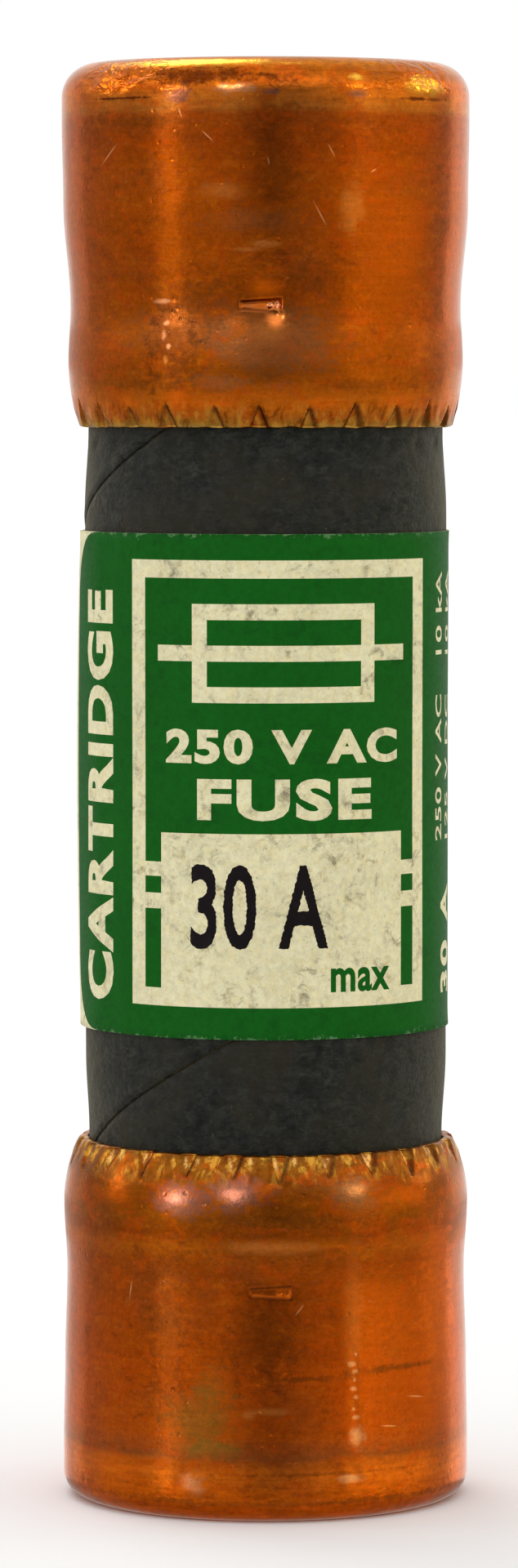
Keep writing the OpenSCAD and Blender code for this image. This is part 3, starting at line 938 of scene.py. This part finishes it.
def lamp(name, azimuth, elevation, across, brightness, warmth):
    """A distant round softbox. Its light runs from white at warmth 0 to WARM at 1."""
    a, e = math.radians(azimuth), math.radians(elevation)
    towards = Vector((math.sin(a) * math.cos(e), -math.cos(a) * math.cos(e), math.sin(e)))
    sun = bpy.data.lights.new(name, "SUN")
    sun.angle = math.radians(across)
    sun.energy = brightness * math.pi * math.sin(sun.angle / 2) ** 2
    sun.color = [1 + (k - 1) * warmth for k in WARM]
    holder = bpy.data.objects.new(name, sun)
    holder.rotation_euler = towards.to_track_quat("Z", "Y").to_euler()
    scene.collection.objects.link(holder)


def camera():
    eye = Vector((0, -0.235, 0.0143))
    target = Vector((-0.00023, 0, -0.00008))
    data = bpy.data.cameras.new("camera")
    data.lens = 153.2
    data.clip_start, data.clip_end = 0.01, 10
    cam = bpy.data.objects.new("camera", data)
    cam.location = eye
    cam.rotation_euler = (target - eye).to_track_quat("-Z", "Y").to_euler()
    scene.collection.objects.link(cam)
    scene.camera = cam


# ---------------------------------------------------------------- the fuse

UPPER_BANDS = [
    (0.02, (0.5, 0.13, 0.006)), (0.12, (0.65, 0.2, 0.01)), (0.5, (0.5, 0.11, 0.003)),
    (0.9, (0.8, 0.17, 0.009)), (1.3, (0.8, 0.2, 0.016)), (1.75, (0.6, 0.17, 0.02)),
    (2.0, (0.47, 0.084, 0.005)), (2.9, (0.46, 0.075, 0.002)), (3.6, (0.54, 0.092, 0.002)),
    (4.6, (0.54, 0.095, 0.002)), (6.0, (0.5, 0.088, 0.0015)), (6.8, (0.52, 0.092, 0.002)),
    (8, (0.49, 0.088, 0.001)), (9, (0.53, 0.1, 0.002)),
    (10.6, (0.47, 0.095, 0.002)), (11.2, (0.52, 0.11, 0.003)), (11.9, (0.76, 0.17, 0.006)),
    (12.3, (0.55, 0.145, 0.012)), (12.5, (0.5, 0.2, 0.02)), (12.65, (0.6, 0.36, 0.07))]
LOWER_BANDS = [
    (0, (0.45, 0.07, 0.001)), (0.5, (0.52, 0.075, 0.001)), (1, (0.8, 0.14, 0.003)), (1.6, (0.9, 0.18, 0.008)),
    (2.05, (0.68, 0.135, 0.008)), (2.25, (0.44, 0.1, 0.016)), (2.7, (0.58, 0.105, 0.01)),
    (3, (0.64, 0.105, 0.004)), (5.2, (0.63, 0.095, 0.002)), (6.2, (0.56, 0.09, 0.002)),
    (7.5, (0.52, 0.088, 0.003)), (8.9, (0.46, 0.08, 0.0025)), (9.5, (0.57, 0.125, 0.004)),
    (9.95, (0.36, 0.068, 0.002)), (10.5, (0.38, 0.088, 0.002)), (11.1, (0.47, 0.1, 0.003)),
    (11.8, (0.29, 0.075, 0.005)), (12.2, (0.3, 0.095, 0.006)), (12.6, (0.25, 0.09, 0.008))]
UPPER_MARKS = [
    # round the punch mark and across the barrel: tarnish, with a painted orange glow above the slit, a
    # painted highlight and glow under it, painted shade on the swell to its left and a painted reflection on
    # the right
    (0.2, 9.6, 2.4, 1.4, DULL, 0.6), (-3.2, 9.3, 2.6, 0.9, DULL, 0.4), (-2.2, 8.2, 1.6, 0.9, BROWN, 0.5),
    (1.7, 7.6, 1.2, 0.9, BROWN, 0.4), (0.0, 7.95, 0.7, 0.45, EMBER, 1.0), (3.0, 5.2, 0.5, 0.9, SCUFF_AND_HIGHLIGHT, 0.6),
    (-0.1, 6.4, 0.7, 0.15, SCUFF_AND_HIGHLIGHT, 0.8), (-0.7, 6.6, 0.5, 0.1, SCUFF_AND_HIGHLIGHT, 0.6), (-1.5, 4.6, 0.9, 0.35, SCUFF_AND_HIGHLIGHT, 0.5),
    (5, 6.4, 1.2, 2.2, GLOW, 0.3), (0.4, 3.4, 0.7, 2.2, BROWN, 0.35), (0.2, 9.4, 0.7, 0.5, SCUFF_AND_HIGHLIGHT, 0.6),
    (0.4, 9.05, 0.45, 0.35, ORANGE_HIGHLIGHT, 1.0), (-3.4, 9.9, 1.2, 1.5, SWELL_SHADE, 0.8),
    # a row of small painted highlights on the left, where a lamp's reflection breaks up on fine dents
    (-3.9, 8.35, 0.35, 0.09, PINK, 1.0), (-3.7, 9.1, 0.14, 0.1, PINK, 1.0),
    (-3.8, 9.5, 0.12, 0.18, PINK, 0.9), (-3.6, 9.9, 0.1, 0.1, PINK, 0.9), (-3.7, 10.4, 0.12, 0.2, SCUFF_AND_HIGHLIGHT, 0.8),
    # the barrel's start, its middle and the rim, with painted orange reflections along the rim
    (-5, 2.2, 2.6, 0.3, BROWN, 0.5), (-0.4, 5.6, 1.8, 0.5, DULL, 0.3), (-3.3, 11.75, 0.6, 0.35, GLOW, 0.9),
    (-1.9, 11.8, 0.8, 0.25, GLOW, 0.7), (-5.6, 11.8, 0.8, 0.25, GLOW, 0.6),
    (-4.8, 11.2, 1.8, 0.25, BROWN, 0.45), (-1.6, 11.1, 1.2, 0.3, DULL, 0.4),
    (2.2, 11.8, 0.8, 0.25, GLOW, 0.6), (5.3, 11.75, 1.0, 0.3, GLOW, 0.6), (3.8, 11.2, 1.6, 0.2, BROWN, 0.35),
    (0, 11.6, 1.6, 0.3, GLOW, 0.3),
    # the back
    (14, 5, 3, 2, DULL, 0.4), (-15, 8, 2, 3, BROWN, 0.4),
    # the bend: painted highlights and painted shade where the light catches it
    (-2.2, 0.7, 2.6, 0.3, SHADE, 0.95), (3.6, 0.55, 3.0, 0.4, BROWN, 0.35),
    (-2.6, 0.22, 3.4, 0.12, GOLD, 1.0), (-5.7, 1.08, 1.7, 0.17, GLOW, 0.8), (6.5, 0.95, 1.2, 0.34, GOLD, 0.7),
    (3.3, 0.73, 0.35, 0.13, GOLD, 1.0), (-1.1, 1.15, 0.8, 0.2, PINK, 1.0), (-3.1, 1.35, 0.45, 0.3, ROSE, 0.7),
    (0.2, 1.25, 0.4, 0.12, ROSE, 0.7), (3.3, 1.3, 0.5, 0.16, ROSE, 0.7), (-5.6, 1.4, 1.6, 0.05, SHADE, 0.9),
    (6.0, 1.42, 1.4, 0.07, SHADE, 0.9)]
UPPER_SCRATCHES = [
    (-2.0, 2.75, 0.32, 42), (-6.1, 3.3, 0.6, -40), (2.3, 3.25, 0.28, 60), (0.1, 3.6, 0.16, 80),
    (3.9, 3.9, 0.15, -30), (1.9, 5.4, 0.5, 60), (-3.0, 1.95, 0.2, 70), (12, 6, 0.7, 35), (-17, 4, 0.5, -50)]
LOWER_MARKS = [
    # stains on the left; on the swell, painted pink and grey tints on the lamps' highlights and painted
    # orange reflections at both sides
    (-2.4, 3.6, 1.4, 1.0, OLIVE, 0.5), (-1.9, 4.7, 0.7, 0.8, OLIVE, 0.4), (-2.1, 2.6, 1.2, 0.4, OLIVE, 0.6),
    (-3.0, 11.15, 1.1, 0.6, ROSE, 0.9), (-1.0, 11.4, 1.1, 0.6, ROSE, 0.9), (3.1, 11.4, 0.9, 0.6, FAWN, 0.9),
    (-5.9, 11.2, 0.8, 0.35, GLOW, 0.9), (5.5, 11.2, 1.3, 0.35, GLOW, 0.6), (0, 9.3, 4.2, 0.4, BROWN, 0.3),
    # the barrel and the groove, with painted reflections at both sides, painted shade that dims a lamp's
    # streak on the left, and a painted highlight on a dent
    (0.3, 9.6, 1.6, 0.25, SCUFF_AND_HIGHLIGHT, 0.6), (0, 6.2, 1.4, 1.6, BROWN, 0.4), (7.3, 7, 1.3, 4.0, GLOW, 0.9),
    (-6, 1.7, 1.6, 0.4, GLOW, 0.8), (-3.5, 6.0, 0.8, 3.4, BROWN, 0.5), (4.6, 6.5, 1.4, 2.4, GLOW, 0.3),
    (0.5, 10.5, 3.5, 0.25, BROWN, 0.5), (0.2, 3.9, 0.8, 0.14, SCUFF_AND_HIGHLIGHT, 0.7), (-0.6, 3.8, 0.25, 0.2, SCUFF_AND_HIGHLIGHT, 0.6),
    (3.3, 2.95, 0.3, 0.4, PINK, 1.0), (3.2, 7, 0.4, 2.5, SCUFF_AND_HIGHLIGHT, 0.3), (5, 5.2, 2.4, 0.14, BROWN, 0.8),
    (1.5, 5.0, 1.8, 0.12, BROWN, 0.6),
    # the bend: painted highlights, and two dark lines across it
    (-2.6, 1.4, 0.45, 0.4, PINK, 0.7), (3.1, 1.5, 0.5, 0.16, PINK, 1.0), (0, 0.7, 9, 0.12, BROWN, 0.5),
    (2, 1.7, 4.5, 0.07, BROWN, 0.5),
    # the back
    (14, 4, 3, 2, DULL, 0.4), (-16, 7, 2, 3, OLIVE, 0.3)]
# A row of small painted highlights on the right, where dents catch a lamp
LOWER_MARKS += [(3.2 + 0.07 * math.sin(9 * s), s, 0.12 + 0.06 * math.cos(7 * s), 0.1, PINK, 1.0)
                for s in (5.8, 5.45, 5.2, 4.9, 4.6, 4.3, 3.9, 3.6)]
LOWER_SCRATCHES = [
    (-5.2, 7.9, 0.4, 80), (1.2, 7.4, 0.25, 50), (5.9, 4.1, 0.5, -8), (4.6, 3.2, 0.4, -6), (-16, 5, 0.6, 40)]

upper_copper = copper("copper_upper", UPPER, UPPER_BANDS, UPPER_MARKS, UPPER_SCRATCHES)
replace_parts(ferrule("ferrule_upper", UPPER, upper_copper), "upper_ferrule")
lower_copper = copper("copper_lower", LOWER, LOWER_BANDS, LOWER_MARKS, LOWER_SCRATCHES)
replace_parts(ferrule("ferrule_lower", LOWER, lower_copper), "lower_ferrule")
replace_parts(tube_outer_ply(outer_fibre()), "tube_outer_ply")
inks = [printed("label_cream", (0.75, 0.7, 0.45), (0.2, 0.17, 0.1), (0.5, 0.45, 0.3), 1),
        printed("label_green", (0.005, 0.1, 0.007), (0.003, 0.03, 0.006), (0.16, 0.3, 0.14), 0.4),
        printed("label_black", (0.01, 0.007, 0.008), (0.03, 0.025, 0.02), (0.25, 0.23, 0.16), 0.3)]
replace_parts(label(inks), "label")

inner = plain_fibre("inner_fibre", (0.10, 0.095, 0.08), (0.2, 0.19, 0.16))
red_fibre = plain_fibre("washer_fibre", (0.17, 0.03, 0.018), (0.3, 0.07, 0.045))
felt = plain_fibre("felt", (0.6, 0.57, 0.47), (0.82, 0.8, 0.7), 0.1)
solder = soft_metal("solder", (0.5, 0.51, 0.52), (0.68, 0.69, 0.7), 0.3)
zinc = soft_metal("zinc", (0.38, 0.39, 0.41), (0.56, 0.57, 0.59), 0.42)
CARRIED_OVER = {
    "tube_second_ply": inner, "tube_third_ply": inner, "tube_liner_ply": inner,
    "upper_washer": red_fibre, "lower_washer": red_fibre, "upper_seal_disc": felt, "lower_seal_disc": felt,
    "upper_solder": solder, "lower_solder": solder, "fuse_link": zinc, "filler": sand(),
}
for node, finish in CARRIED_OVER.items():
    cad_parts[node].data.materials.clear()
    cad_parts[node].data.materials.append(finish)

stage_floor()
studio_world()
for name, settings in LAMPS.items():
    lamp(name, *settings)
camera()
scene.view_settings.view_transform = "Standard"
